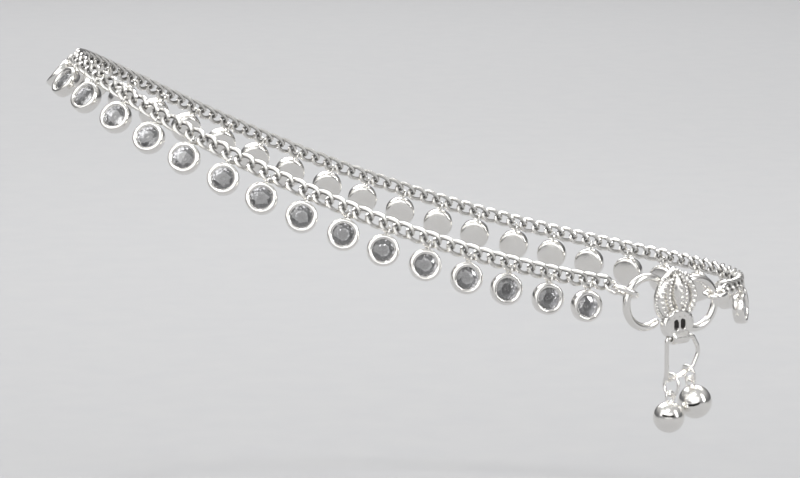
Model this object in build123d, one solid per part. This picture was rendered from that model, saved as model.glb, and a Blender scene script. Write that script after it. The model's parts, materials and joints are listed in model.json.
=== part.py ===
from build123d import *
import os
from bisect import bisect_left
from math import asin, atan2, cos, degrees, radians, sin, sqrt, tan

# Payal anklet in millimetres: a silver curb chain with hanging stone drops, closed by an
# S-hook that carries a cast motif and two little bells.
# +Z is up, +X points to the heel and -Y to the side that shows the clasp. The origin is
# the middle of the ankle hollow. The loop keeps the slanted form it has when it is worn.

# The ankle loop: an ellipse in plan, high on the instep and low at the heel.
LOOP_HALF_LENGTH = 49.7
LOOP_HALF_WIDTH = 27.5
LOOP_RISE = 17.4
LOOP_BOW = 3.25
LEAN_MEAN = 16.5
LEAN_FRONT = 18.0
LEAN_BOW = 6.5
LOOP_STEPS_PER_DEGREE = 10

# The curb chain: twisted oval links.
LINK_PITCH = 2.035
LINK_WIRE = 0.62
LINK_GAP = 0.13
LINK_HALF_LENGTH = (LINK_PITCH + LINK_WIRE + LINK_GAP) / 2
LINK_HALF_WIDTH = 0.90
LINK_TWIST = 0.44
LINK_CORNERS = 8

# The stone drops: a cup on a small ring, one on every third link.
LINKS_PER_DROP = 3
FIRST_DROP_LINK = 1
BAIL_RADIUS = 0.68
BAIL_WIRE = 0.36
BAIL_TURN = 20.0           # how far the ring leans back from square to its strand
DROP_LENGTH = 2.78
DROP_SAG = 0.36
DROP_SWAY = 2.2
SWAY_STEP = 2.3            # turn between neighbours, so that no two lean alike
CUP_RADIUS = 2.3
CUP_BACK_RADIUS = 1.9
CUP_BACK_BEVEL = 0.35
CUP_FLOOR = 0.18
CUP_WELL_RADIUS = 0.55
RIM_CREST_RADIUS = 2.0
LIP_REACH = 0.06          # how far the lip stands over the stone's edge
LIP_HEIGHTS = (0.60, 0.50)
SEAT_HEIGHTS = (0.43, 0.10)
STONE_PLAY = 0.10
CUP_BACK = -0.90
CUP_FRONT = 0.95
STONE_RADIUS = 1.62
STONE_SIDES = 16
STONE_GIRDLE = (0.18, 0.30)
STONE_TABLE_RADIUS = 0.92
STONE_TABLE_HEIGHT = 0.72
STONE_CULET = -0.60

# The linkage between the chain and the hook.
PLAY = 0.18
END_RING_RADIUS = 1.2
END_RING_WIRE = 0.54
END_RING_TURN = 46.0
CONNECTOR_LENGTH = 4.3
CONNECTOR_WIDTH = 3.5
CONNECTOR_WIRE = 0.76
CONNECTOR_TURN = 80.0

# The S-hook: two open rings joined by a slanting middle.
HOOK_AT = 136.0
HOOK_HANG = 1.9
HOOK_HEADING = 29.0
HOOK_SLOPE = 6.5
HOOK_RING_RADIUS = 3.65
HOOK_RING_DISTANCE = 9.3
HOOK_WIRE = 1.2
HOOK_END_ANGLE = -45.0
HOOK_PULL_ANGLE = 20.0

# The cast motif on the hook, in its own plane: x across, y up, z outward.
MOTIF_TILT = 4.0
MOTIF_BACK = 0.75
PLATE_FRONT = 1.35
SHIELD_HALF_WIDTH = 3.9
SHIELD_WIDEST = 0.5
SHIELD_TOP = 5.5
SHIELD_SHOULDER = (2.0, 4.2)
SHIELD_FOOT = (2.3, -2.0)
LEAF_TIP = 4.7
LEAF_FOOT = -1.5
LEAF_HALF_WIDTH = 1.6
LEAF_CROWN = 2.75
LEAF_BALL_RADIUS = 3.8
PETAL_LINE = [(-1.1, 3.75, 1.35), (-3.1, 0.7, 1.45), (-2.05, -1.35, 1.35)]
PETAL_WIRE = 1.1
BEAD_RADIUS = 0.48
BEAD_SPACING = 0.92
BEAD_ROW = (-1.95, 1.5)
BEAD_ROW_BOW = 0.05
GRAIN_RADIUS = 0.27
GRAINS = [(0.2, 2.58), (1.1, 2.72), (2.0, 2.75), (2.9, 2.62)]
POST_RADIUS = 1.3
BUD_HALF_WIDTH = 2.85
BUD_HALF_HEIGHT = 2.35
BUD_CENTRE = -2.95
BUD_FRONT = 1.95
BUD_SLOT_WIDTH = 0.92
BUD_SLOT_HEIGHT = 1.55
BUD_SLOT_BAR = 0.34
KNOB_CENTRE = (0.0, -4.97, 1.5)
KNOB_RADIUS = 0.95
KNOB_LENGTH = 3.2

# The bell drop, hung in the knob's bore.
LOOP_WIRE = 0.66
BORE_RADIUS = LOOP_WIRE / 2 + 0.15
LOOP_CORNERS = [(-2.2, 0), (2.6, 0), (3.95, -2.3), (2.7, -4.75), (-0.3, -5.85), (-2.2, -6.2)]
LOOP_BENDS = [0.5, 0.5, 2.0, 0.9, 1.0, 0.5]
JUMP_RING_RADII = {1: 1.6, 2: 1.2}
JUMP_RING_WIRE = 0.5
BELL_RADII = {1: 2.3, 2: 2.5}
BELL_WALL = 0.3
BELL_EYE_RADIUS = 0.75
BELL_EYE_WIRE = 0.42
EYE_SINK = 0.1
BELL_SLIT_LENGTH = 1.9
BELL_SLIT_WIDTH = 0.34
BELL_SLIT_BOW = 2.0
BELL_SLIT_TURN = -42.0
BELL_SLIT_LIFT = 10.0
PELLET_RADIUS = 0.8
RING_PLAY = 0.11
# Where along the loop's foot each bell hangs, and how far its line leans from the plumb.
BELL_HANGERS = {1: (-1.2, -5.0), 2: (1.85, 16.0)}

UP = Vector(0, 0, 1)


# ---- the loop line ----

def loop_point(turn):
    """Point of the chain's middle line; turn runs from the instep by the clasp side."""
    return Vector(
        -LOOP_HALF_LENGTH * cos(turn),
        -LOOP_HALF_WIDTH * sin(turn),
        LOOP_RISE * cos(turn) + LOOP_BOW * cos(2 * turn),
    )


def loop_tangent(turn):
    return Vector(
        LOOP_HALF_LENGTH * sin(turn),
        -LOOP_HALF_WIDTH * cos(turn),
        -LOOP_RISE * sin(turn) - 2 * LOOP_BOW * sin(2 * turn),
    ).normalized()


def loop_plane(turn):
    """Plane on the ankle's skin: x along the chain, y up the leg and z outward."""
    tangent = loop_tangent(turn)
    lean = radians(LEAN_MEAN + LEAN_FRONT * cos(turn) + LEAN_BOW * cos(2 * turn))
    level = Vector(-cos(turn) / LOOP_HALF_LENGTH, -sin(turn) / LOOP_HALF_WIDTH, 0).normalized()
    outward = level * cos(lean) + UP * sin(lean)
    outward = outward - tangent * outward.dot(tangent)
    return Plane(origin=loop_point(turn), x_dir=tangent, z_dir=outward.normalized())


def loop_table():
    """Turns over two rounds, and the length of chain line up to each of them."""
    turns = [radians(i / LOOP_STEPS_PER_DEGREE) for i in range(720 * LOOP_STEPS_PER_DEGREE + 1)]
    lengths = [0.0]
    for before, after in zip(turns, turns[1:]):
        lengths.append(lengths[-1] + (loop_point(after) - loop_point(before)).length)
    return turns, lengths


TURNS, LENGTHS = loop_table()


def turn_at(length):
    i = bisect_left(LENGTHS, length)
    part = (length - LENGTHS[i - 1]) / (LENGTHS[i] - LENGTHS[i - 1])
    return TURNS[i - 1] + part * (TURNS[i] - TURNS[i - 1])


def length_at(turn):
    return LENGTHS[bisect_left(TURNS, turn)]


# ---- wire shapes ----

def arc_radii(points):
    """The largest arcs that fit the corners of an open run of points."""
    radii = []
    for before, corner, after in zip(points, points[1:], points[2:]):
        run_in = corner - before
        run_out = after - corner
        half_turn = radians(run_in.get_angle(run_out)) / 2
        radii.append(0.45 * min(run_in.length, run_out.length) / tan(half_turn))
    return radii


def bent_wire(points, diameter, radii=None):
    """Round wire along straight runs joined by arcs."""
    path = FilletPolyline(*points, radius=radii or arc_radii(points))
    return sweep(Plane(origin=path @ 0, z_dir=path % 0) * Circle(diameter / 2), path=path)


def torus_on(origin, axis, radius, wire):
    return Plane(origin=origin, z_dir=axis).location * Torus(radius, wire / 2)


# ---- curb chain ----

def curb_link():
    """A twisted oval: (a cos t, b sin t, c sin 2t), bent from eight straight runs."""
    half_step = radians(180 / LINK_CORNERS)
    corners = []
    for i in range(LINK_CORNERS):
        t = half_step * (2 * i + 1)
        corners.append(Vector(
            LINK_HALF_LENGTH / cos(half_step) * cos(t),
            LINK_HALF_WIDTH / cos(half_step) * sin(t),
            LINK_TWIST * sqrt(2) * sin(2 * t),
        ))
    near_end = (corners[-1] + corners[0]) * 0.5
    far_end = (corners[3] + corners[4]) * 0.5
    half = bent_wire([near_end, *corners[:4], far_end], LINK_WIRE)
    return half + half.rotate(Axis.Z, 180)


# ---- S-hook placing and linkage ----

HEADING = Vector(cos(radians(HOOK_HEADING)), sin(radians(HOOK_HEADING)), 0)
HOOK_OUT = Vector(sin(radians(HOOK_HEADING)), -cos(radians(HOOK_HEADING)), 0)
HOOK_AXIS = HEADING * cos(radians(HOOK_SLOPE)) - UP * sin(radians(HOOK_SLOPE))
HOOK_CENTRE = loop_point(radians(HOOK_AT)) - UP * HOOK_HANG
HOOK_PLANE = Plane(origin=HOOK_CENTRE, x_dir=HOOK_AXIS, z_dir=HOOK_OUT)
MOTIF_PLANE = Plane(
    origin=HOOK_CENTRE,
    x_dir=HEADING * cos(radians(MOTIF_TILT)) + UP * sin(radians(MOTIF_TILT)),
    z_dir=HOOK_OUT,
)
HINGE_PLANE = Plane(origin=MOTIF_PLANE.from_local_coords(KNOB_CENTRE), x_dir=HEADING, z_dir=HOOK_OUT)

CONNECTOR_REACH = CONNECTOR_LENGTH / 2 - CONNECTOR_WIRE - PLAY
HOOK_TO_CONNECTOR = CONNECTOR_REACH - HOOK_WIRE / 2
CONNECTOR_TO_RING = CONNECTOR_REACH - END_RING_WIRE / 2 + END_RING_RADIUS
RING_TO_LINK = END_RING_RADIUS - END_RING_WIRE / 2 - LINK_WIRE / 2 - PLAY + LINK_HALF_LENGTH
LINKAGE = HOOK_TO_CONNECTOR + CONNECTOR_TO_RING + RING_TO_LINK


def pull_point(side):
    """Where the connector draws on the hook's ring: side -1 to the front, 1 to the heel."""
    pull = radians(HOOK_PULL_ANGLE)
    x = side * (HOOK_RING_DISTANCE / 2 + HOOK_RING_RADIUS * cos(pull))
    return HOOK_PLANE.from_local_coords((x, HOOK_RING_RADIUS * sin(pull), 0))


def end_link_length(side):
    """Length along the loop at which the end link is just in reach of the hook."""
    near = length_at(radians(HOOK_AT))
    far = near + side * 3 * LINKAGE
    for _ in range(40):
        middle = (near + far) / 2
        if (loop_point(turn_at(middle)) - pull_point(side)).length < LINKAGE:
            near = middle
        else:
            far = middle
    return near


FIRST_LENGTH = end_link_length(1)
LAST_LENGTH = end_link_length(-1) + LENGTHS[len(LENGTHS) // 2]
LINK_COUNT = round((LAST_LENGTH - FIRST_LENGTH) / LINK_PITCH) + 1


def link_plane(index):
    step = (LAST_LENGTH - FIRST_LENGTH) / (LINK_COUNT - 1)
    return loop_plane(turn_at(FIRST_LENGTH + step * index))


def curb_chain():
    link = curb_link()
    return Compound(children=[link_plane(i).location * link for i in range(LINK_COUNT)])


def linkage_pieces(side):
    """The end ring and the oval connector at one end of the chain."""
    end_plane = link_plane(0 if side > 0 else LINK_COUNT - 1)
    start = pull_point(side)
    along = (end_plane.origin - start).normalized()
    outward = (end_plane.z_dir - along * end_plane.z_dir.dot(along)).normalized()
    upward = outward.cross(along) * side * -1

    def facing(turn):
        """Normal of a ring whose plane is turned by this much from the skin."""
        return outward * cos(radians(turn)) - upward * sin(radians(turn))

    connector_plane = Plane(
        origin=start + along * HOOK_TO_CONNECTOR,
        x_dir=along,
        z_dir=facing(side * CONNECTOR_TURN),
    )
    ring_centre = start + along * (HOOK_TO_CONNECTOR + CONNECTOR_TO_RING)
    ring = torus_on(ring_centre, facing(-side * END_RING_TURN), END_RING_RADIUS, END_RING_WIRE)
    return connector_plane.location * connector(), ring


def connector():
    """An oval ring: two half rings joined by two short straights."""
    radius = (CONNECTOR_WIDTH - CONNECTOR_WIRE) / 2
    straight = CONNECTOR_LENGTH - CONNECTOR_WIDTH
    section = Circle(CONNECTOR_WIRE / 2)
    path = Line((0, -radius), (straight / 2, -radius))
    path += CenterArc((straight / 2, 0), radius, -90, 180)
    path += Line((straight / 2, radius), (0, radius))
    half = sweep(Plane(origin=(0, -radius, 0), z_dir=(1, 0, 0)) * section, path=path)
    return half + half.rotate(Axis.Z, 180)


# ---- stone drops ----

def drop_swing(plane):
    """How far a drop leans off the chain's square towards the plumb line."""
    plumb = -UP
    lean = atan2(plumb.dot(plane.x_dir), plumb.dot(-plane.y_dir))
    return DROP_SAG * lean


def drop_frames():
    """For each drop the plane of its ring's middle and its own lean."""
    frames = []
    for k in range(LINK_COUNT):
        index = LINK_COUNT - 1 - FIRST_DROP_LINK - k * LINKS_PER_DROP
        if index < FIRST_DROP_LINK:
            return frames
        plane = link_plane(index)
        strand = Plane(
            origin=plane.from_local_coords((0, -LINK_HALF_WIDTH, 0)),
            x_dir=plane.x_dir,
            z_dir=plane.z_dir,
        )
        lean = drop_swing(plane) + radians(DROP_SWAY) * sin(SWAY_STEP * k)
        frames.append((strand, lean))
    return frames


def cup():
    """Turned cup with a rolled rim; its lip stands over the stone's girdle."""
    seat = STONE_RADIUS + STONE_PLAY
    lip = STONE_RADIUS - LIP_REACH
    floor = CUP_BACK + CUP_FLOOR
    lip_high, lip_low = LIP_HEIGHTS
    seat_high, seat_low = SEAT_HEIGHTS
    profile = make_face([
        *Polyline(
            (lip, lip_high), (lip, lip_low), (seat, seat_high), (seat, seat_low),
            (CUP_WELL_RADIUS, floor), (0, floor), (0, CUP_BACK), (CUP_BACK_RADIUS, CUP_BACK),
            (CUP_RADIUS, CUP_BACK + CUP_BACK_BEVEL), (CUP_RADIUS, lip_low),
        ).edges(),
        ThreePointArc((CUP_RADIUS, lip_low), (RIM_CREST_RADIUS, CUP_FRONT), (lip, lip_high)),
    ])
    return revolve(Plane.XZ * profile, Axis.Z)


def stone():
    """Round cut: a table, twenty-four crown facets, a girdle and sixteen pavilion facets."""
    low, high = STONE_GIRDLE
    step = 360 / STONE_SIDES

    def ring(radius, height, angle):
        return Vector(radius * cos(radians(angle)), radius * sin(radians(angle)), height)

    table = [ring(STONE_TABLE_RADIUS, STONE_TABLE_HEIGHT, 2 * step * i) for i in range(STONE_SIDES // 2)]
    top = [ring(STONE_RADIUS, high, step * i) for i in range(STONE_SIDES)]
    bottom = [ring(STONE_RADIUS, low, step * i) for i in range(STONE_SIDES)]
    culet = Vector(0, 0, STONE_CULET)
    facets = [table]
    for i in range(STONE_SIDES):
        after = (i + 1) % STONE_SIDES
        facets.append([bottom[i], bottom[after], top[after], top[i]])
        facets.append([culet, bottom[after], bottom[i]])
        corner = table[((i + 1) // 2) % len(table)]
        facets.append([top[i], top[after], corner])
        if i % 2:
            facets.append([top[i], corner, table[i // 2]])
    faces = [make_face(Polyline(*facet, close=True)) for facet in facets]
    return Solid(Shell([face.face() for face in faces]))


def cup_location(strand, lean):
    return strand.location * Rot(0, 0, degrees(lean)) * Pos(0, -DROP_LENGTH, 0)


def stone_drop(strand, lean, cup_shape):
    """A cup soldered to the ring that rides on a link's lower strand."""
    slope = atan2(2 * LINK_TWIST, LINK_HALF_LENGTH) - radians(BAIL_TURN)
    across = Plane(origin=(0, 0, 0), x_dir=(0, 1, 0), z_dir=(cos(slope), 0, -sin(slope)))
    bail = across.location * Torus(BAIL_RADIUS, BAIL_WIRE / 2)
    hanging = Rot(0, 0, degrees(lean)) * Pos(0, -DROP_LENGTH, 0) * cup_shape
    return strand.location * (hanging + bail)


# ---- S-hook with its motif ----

def hook_wire():
    half = HOOK_RING_DISTANCE / 2
    slant = asin(HOOK_RING_RADIUS / half)
    meet = 90 - degrees(slant)
    sweep_angle = 360 - meet + HOOK_END_ANGLE
    left = CenterArc((-half, 0), HOOK_RING_RADIUS, HOOK_END_ANGLE, -sweep_angle)
    right = CenterArc((half, 0), HOOK_RING_RADIUS, 180 + meet, sweep_angle)
    path = Wire([left.edge(), Line(left @ 1, right @ 0).edge(), right.edge()])
    section = Plane(origin=path @ 0, z_dir=path % 0) * Circle(HOOK_WIRE / 2)
    wire = sweep(section, path=path)
    ends = wire.faces().filter_by(GeomType.PLANE).edges()
    return fillet(ends, HOOK_WIRE * 0.3)


def side_arc(end):
    """Arc of the shield's side from its widest place, where it runs straight up, to an end."""
    inset = SHIELD_HALF_WIDTH - end[0]
    rise = end[1] - SHIELD_WIDEST
    radius = (inset ** 2 + rise ** 2) / (2 * inset)
    half_turn = atan2(rise, radius - inset) / 2
    middle_x = SHIELD_HALF_WIDTH - radius + radius * cos(half_turn)
    middle_y = SHIELD_WIDEST + radius * sin(half_turn)
    return ThreePointArc(end, (middle_x, middle_y), (SHIELD_HALF_WIDTH, SHIELD_WIDEST)).edge()


def shield_outline():
    """Pointed shield, mirrored about its middle line."""
    right = [
        Line((0, SHIELD_TOP), SHIELD_SHOULDER).edge(),
        side_arc(SHIELD_SHOULDER),
        side_arc(SHIELD_FOOT),
        Line(SHIELD_FOOT, (0, SHIELD_FOOT[1])).edge(),
    ]
    left = [edge.mirror(Plane.YZ) for edge in right]
    return make_face(right + left)


def plate(face, back, front, bevel):
    body = Plane.XY.offset(back) * extrude(face, front - back)
    return chamfer(body.faces().sort_by(Axis.Z)[-1].edges(), bevel)


def leaf():
    """Pointed leaf with a domed face: two arcs drawn up under a big ball."""
    middle = (LEAF_TIP + LEAF_FOOT) / 2
    outline = make_face([
        ThreePointArc((0, LEAF_FOOT), (LEAF_HALF_WIDTH, middle), (0, LEAF_TIP)).edge(),
        ThreePointArc((0, LEAF_TIP), (-LEAF_HALF_WIDTH, middle), (0, LEAF_FOOT)).edge(),
    ])
    ball = Pos(0, middle, LEAF_CROWN - LEAF_BALL_RADIUS) * Sphere(LEAF_BALL_RADIUS)
    return (Plane.XY.offset(MOTIF_BACK + 0.2) * extrude(outline, LEAF_CROWN)) & ball


def petals():
    """A bent round petal down each side of the leaf."""
    path = ThreePointArc(*PETAL_LINE)
    left = sweep(Plane(origin=path @ 0, z_dir=path % 0) * Circle(PETAL_WIRE / 2), path=path)
    for end in (path @ 0, path @ 1):
        left += Pos(*end) * Sphere(PETAL_WIRE / 2 * 0.98)
    return [left, left.mirror(Plane.YZ)]


def beads():
    """Collar of five beads at the waist, and grains up the leaf's ridge."""
    y, z = BEAD_ROW
    places = [BEAD_SPACING * i for i in range(-2, 3)]
    collar = [Pos(x, y - BEAD_ROW_BOW * x * x, z) * Sphere(BEAD_RADIUS) for x in places]
    grains = [Pos(0, y, z) * Sphere(GRAIN_RADIUS) for y, z in GRAINS]
    return collar + grains


def bud():
    """Round bud under the collar, pierced by two slots with a bar between them."""
    disc = plate(Pos(0, BUD_CENTRE) * Ellipse(BUD_HALF_WIDTH, BUD_HALF_HEIGHT), MOTIF_BACK, BUD_FRONT, 0.35)
    for side in (-1, 1):
        x = side * (BUD_SLOT_WIDTH + BUD_SLOT_BAR) / 2
        slot = Pos(x, BUD_CENTRE) * SlotOverall(BUD_SLOT_HEIGHT, BUD_SLOT_WIDTH, rotation=90)
        disc -= Plane.XY.offset(MOTIF_BACK - 1) * extrude(slot, BUD_FRONT + 2)
    return disc


def motif():
    body = plate(shield_outline(), MOTIF_BACK, PLATE_FRONT, 0.2)
    body += bud()
    body += leaf()
    for petal in petals():
        body += petal
    for bead in beads():
        body += bead
    body += Pos(0, 0, MOTIF_BACK / 2 + 0.1) * Cylinder(POST_RADIUS, MOTIF_BACK + 0.1)
    return MOTIF_PLANE.location * body


def knob(radius, length):
    """Round bar along the hinge line."""
    return HINGE_PLANE.location * (Rot(0, 90, 0) * Cylinder(radius, length))


def s_hook():
    body = HOOK_PLANE.location * hook_wire() + motif()
    barrel = knob(KNOB_RADIUS, KNOB_LENGTH)
    body += fillet(barrel.edges(), 0.3)
    return body - knob(BORE_RADIUS, 2 * KNOB_LENGTH)


# ---- bell drop ----

def bell_loop():
    """Bent wire loop: its straight top lies in the knob's bore."""
    corners = [Vector(x, y, 0) for x, y in LOOP_CORNERS]
    top = (corners[0] + corners[1]) * 0.5
    foot = (corners[3] + corners[4]) * 0.5
    right = bent_wire([top, *corners[1:4], foot], LOOP_WIRE, LOOP_BENDS[1:4])
    left = bent_wire([foot, *corners[4:], corners[0], top], LOOP_WIRE, LOOP_BENDS[4:] + LOOP_BENDS[:1])
    return HINGE_PLANE.location * (left + right)


def hang_plane(number):
    """Plane of one bell's hanging: origin on the loop wire, y up its line, z outward."""
    x, lean = BELL_HANGERS[number]
    left, right = sorted(corner for corner in LOOP_CORNERS[3:])[number - 1:number + 1]
    y = left[1] + (right[1] - left[1]) * (x - left[0]) / (right[0] - left[0])
    turn = radians(lean)
    across = HEADING * cos(turn) + UP * sin(turn)
    return Plane(origin=HINGE_PLANE.from_local_coords((x, y, 0)), x_dir=across, z_dir=HOOK_OUT)


def ring_drop(number):
    """How far the jump ring's middle hangs below the loop wire."""
    return JUMP_RING_RADII[number] - JUMP_RING_WIRE / 2 - LOOP_WIRE / 2 - RING_PLAY


def eye_drop(number):
    reach = JUMP_RING_RADII[number] - JUMP_RING_WIRE / 2 + BELL_EYE_RADIUS - BELL_EYE_WIRE / 2
    return ring_drop(number) + reach - RING_PLAY


def bell_drop(number):
    return eye_drop(number) + BELL_EYE_RADIUS + BELL_RADII[number] - EYE_SINK


def jump_ring(number):
    plane = hang_plane(number)
    centre = plane.from_local_coords((0, -ring_drop(number), 0))
    return torus_on(centre, plane.x_dir, JUMP_RING_RADII[number], JUMP_RING_WIRE)


def bell_slit(radius):
    """Curved bar that stands out through the front of a bell."""
    half_turn = degrees(BELL_SLIT_LENGTH - BELL_SLIT_WIDTH) / BELL_SLIT_BOW / 2
    line = CenterArc((0, BELL_SLIT_BOW), BELL_SLIT_BOW, -90 - half_turn, 2 * half_turn)
    return Rot(-BELL_SLIT_LIFT, BELL_SLIT_TURN, 0) * extrude(SlotArc(line, BELL_SLIT_WIDTH), radius + 1)


def bell(number):
    """Hollow ball with a slit in front and an eye on top."""
    radius = BELL_RADII[number]
    eye = Pos(0, bell_drop(number) - eye_drop(number), 0) * Torus(BELL_EYE_RADIUS, BELL_EYE_WIRE / 2)
    body = Sphere(radius) + eye
    body -= Sphere(radius - BELL_WALL)
    body -= bell_slit(radius)
    return (hang_plane(number).location * Pos(0, -bell_drop(number), 0)) * body


def bell_pellet(number):
    """Loose ball at the bottom of the bell."""
    rest = BELL_RADII[number] - BELL_WALL - PELLET_RADIUS - RING_PLAY
    centre = hang_plane(number).from_local_coords((0, -bell_drop(number), 0)) - UP * rest
    return Pos(*centre) * Sphere(PELLET_RADIUS)


# ---- the whole anklet ----

def anklet():
    """Every node by name."""
    nodes = {"curb_chain": curb_chain()}
    cup_shape = cup()
    cut = stone()
    stones = []
    for number, (strand, lean) in enumerate(drop_frames(), start=1):
        nodes[f"drop_{number:02d}"] = stone_drop(strand, lean, cup_shape)
        stones.append(cup_location(strand, lean) * cut)
    nodes["stones"] = Compound(children=stones)
    for side, place in ((-1, "front"), (1, "heel")):
        nodes[f"connector_{place}"], nodes[f"end_ring_{place}"] = linkage_pieces(side)
    nodes["s_hook"] = s_hook()
    nodes["bell_loop"] = bell_loop()
    for number in BELL_HANGERS:
        nodes[f"bell_ring_{number}"] = jump_ring(number)
        nodes[f"bell_{number}"] = bell(number)
        nodes[f"bell_pellet_{number}"] = bell_pellet(number)
    return nodes


NODES = anklet()
os.makedirs("parts", exist_ok=True)
for name, shape in NODES.items():
    export_step(shape, f"parts/{name}.step")
print(f"{LINK_COUNT} links, {len(drop_frames())} drops, loop {LENGTHS[len(LENGTHS) // 2]:.1f} mm")
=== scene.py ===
# %% [markdown]
# # A payal anklet
# The anklet is a loop of silver curb chain with a round stone drop on every third link. An
# S-hook closes it, and the hook carries a cast motif with two little bells.
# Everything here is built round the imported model, which fixes where each piece is.

# %% Load the frame
import json
import bpy
import numpy as np
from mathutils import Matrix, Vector


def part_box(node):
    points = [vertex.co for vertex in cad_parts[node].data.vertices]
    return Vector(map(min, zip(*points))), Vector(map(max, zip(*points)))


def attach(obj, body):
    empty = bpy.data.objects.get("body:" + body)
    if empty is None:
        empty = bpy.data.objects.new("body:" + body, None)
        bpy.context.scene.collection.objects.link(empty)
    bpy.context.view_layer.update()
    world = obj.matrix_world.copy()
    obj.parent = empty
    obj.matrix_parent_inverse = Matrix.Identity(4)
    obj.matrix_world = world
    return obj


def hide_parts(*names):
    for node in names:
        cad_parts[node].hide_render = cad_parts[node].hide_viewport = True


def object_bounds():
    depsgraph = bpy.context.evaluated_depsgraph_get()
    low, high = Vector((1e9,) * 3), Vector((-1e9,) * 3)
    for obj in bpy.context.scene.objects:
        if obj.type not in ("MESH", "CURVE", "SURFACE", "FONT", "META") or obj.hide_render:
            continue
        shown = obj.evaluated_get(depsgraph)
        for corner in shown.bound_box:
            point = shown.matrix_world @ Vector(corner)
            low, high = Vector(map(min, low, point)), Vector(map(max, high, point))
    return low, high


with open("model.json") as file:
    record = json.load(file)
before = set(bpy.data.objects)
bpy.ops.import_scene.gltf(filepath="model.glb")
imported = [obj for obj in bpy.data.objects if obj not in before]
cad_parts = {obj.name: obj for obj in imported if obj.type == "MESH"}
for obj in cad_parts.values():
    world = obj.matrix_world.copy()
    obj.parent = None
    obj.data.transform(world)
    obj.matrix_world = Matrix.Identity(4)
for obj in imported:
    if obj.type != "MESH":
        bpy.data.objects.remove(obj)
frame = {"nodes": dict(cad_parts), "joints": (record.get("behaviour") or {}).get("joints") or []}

cad_low, cad_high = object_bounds()
nodes = frame["nodes"]
MM = 0.001
print("nodes", len(nodes), "box mm", [round((b - a) / MM, 1) for a, b in zip(cad_low, cad_high)])

# %% [markdown]
# ## Surfaces from grids
# Every new piece is a surface worked out as an array of points: rows one way, columns the
# other. The quads between them are an array as well, so no loop runs over the vertices.
# One call can take many equal shapes at once, which is how the chain links are made.

# %% Grid helper
SHARP = np.radians(38)


def unit(v):
    """Each vector divided by its own length."""
    return v / np.linalg.norm(v, axis=-1, keepdims=True)


def grid_quads(rows, cols, rows_close, cols_close):
    """Corner numbers of all quads between neighbouring rows and columns."""
    last_row, last_col = rows - (not rows_close), cols - (not cols_close)
    r, c = np.meshgrid(np.arange(last_row), np.arange(last_col), indexing="ij")
    r2, c2 = (r + 1) % rows, (c + 1) % cols
    return np.stack([r * cols + c, r * cols + c2, r2 * cols + c2, r2 * cols + c], -1).reshape(-1, 4)


def signed_volume(points, faces):
    """Sum of the tetrahedra from the origin to each fan triangle of each face."""
    total = 0.0
    for face in faces:
        a, b, c = points[face[0]], points[face[1:-1]], points[face[2:]]
        total += np.einsum("j,ij->", a, np.cross(b, c)) / 6
    return total


def shape(rows_by_cols, rows_close=False, cols_close=True):
    """Points and faces of closed shapes: grids with their open ends capped.

    The array is (copies, rows, columns, 3), or without the copies for a single shape. Where
    the rows don't close, the first and last row each get a flat cap. The faces are turned
    round if the volume inside comes out negative, so they point outwards.
    """
    grids = np.asarray(rows_by_cols, float)
    grids = grids[None] if grids.ndim == 3 else grids
    copies, rows, cols, _ = grids.shape
    quads = grid_quads(rows, cols, rows_close, cols_close)
    faces = [face for face in quads]
    if not rows_close:
        faces += [np.arange(cols)[::-1], (rows - 1) * cols + np.arange(cols)]
    if signed_volume(grids[0].reshape(-1, 3), faces) < 0:
        faces = [face[::-1] for face in faces]
    starts = np.arange(copies) * rows * cols
    return grids.reshape(-1, 3), [face + start for start in starts for face in faces]


def joined(shapes):
    """Several shapes as one set of points and faces."""
    points, faces, count = [], [], 0
    for some_points, some_faces in shapes:
        points.append(some_points)
        faces += [face + count for face in some_faces]
        count += len(some_points)
    return np.concatenate(points), faces


def piece(name, points_and_faces, sharp=SHARP):
    """A Blender object from points in millimetres and faces, smooth except at sharp edges."""
    points, faces = points_and_faces
    mesh = bpy.data.meshes.new(name)
    mesh.from_pydata(points * MM, [], [face.tolist() for face in faces])
    mesh.polygons.foreach_set("use_smooth", np.ones(len(mesh.polygons), bool))
    mesh.set_sharp_from_angle(angle=sharp)
    thing = bpy.data.objects.new(name, mesh)
    bpy.context.scene.collection.objects.link(thing)
    return thing


def mark(thing, values, name="hollow", domain="POINT"):
    """One number from 0 to 1 for each vertex or face; by default it is how dark a vertex in a
    hollow is painted, as shade with some tarnish.
    """
    attribute = thing.data.attributes.new(name, "FLOAT", domain)
    attribute.data.foreach_set("value", np.asarray(values, np.float32))


def stands_for(thing, node, body="anklet"):
    """The piece rides on a body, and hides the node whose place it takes."""
    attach(thing, body)
    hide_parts(node)
    low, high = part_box(node)
    own = np.array([v.co for v in thing.data.vertices])
    off = max(np.abs(own.min(0) - low).max(), np.abs(own.max(0) - high).max()) / MM
    print(f"{thing.name}: {len(thing.data.polygons)} faces, box within {off:.2f} mm of {node}")
    return thing


# %% [markdown]
# ## Wire
# Chain links, rings, the hook and the loop over the bells are all drawn wire. A wire is a
# small oval carried along a line. At each point of the line, the oval stands square to it:
# one of its axes is the line's direction crossed with an `up` vector, the other is square to
# both. Free ends are finished as half balls.

# %% Wire helper

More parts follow.
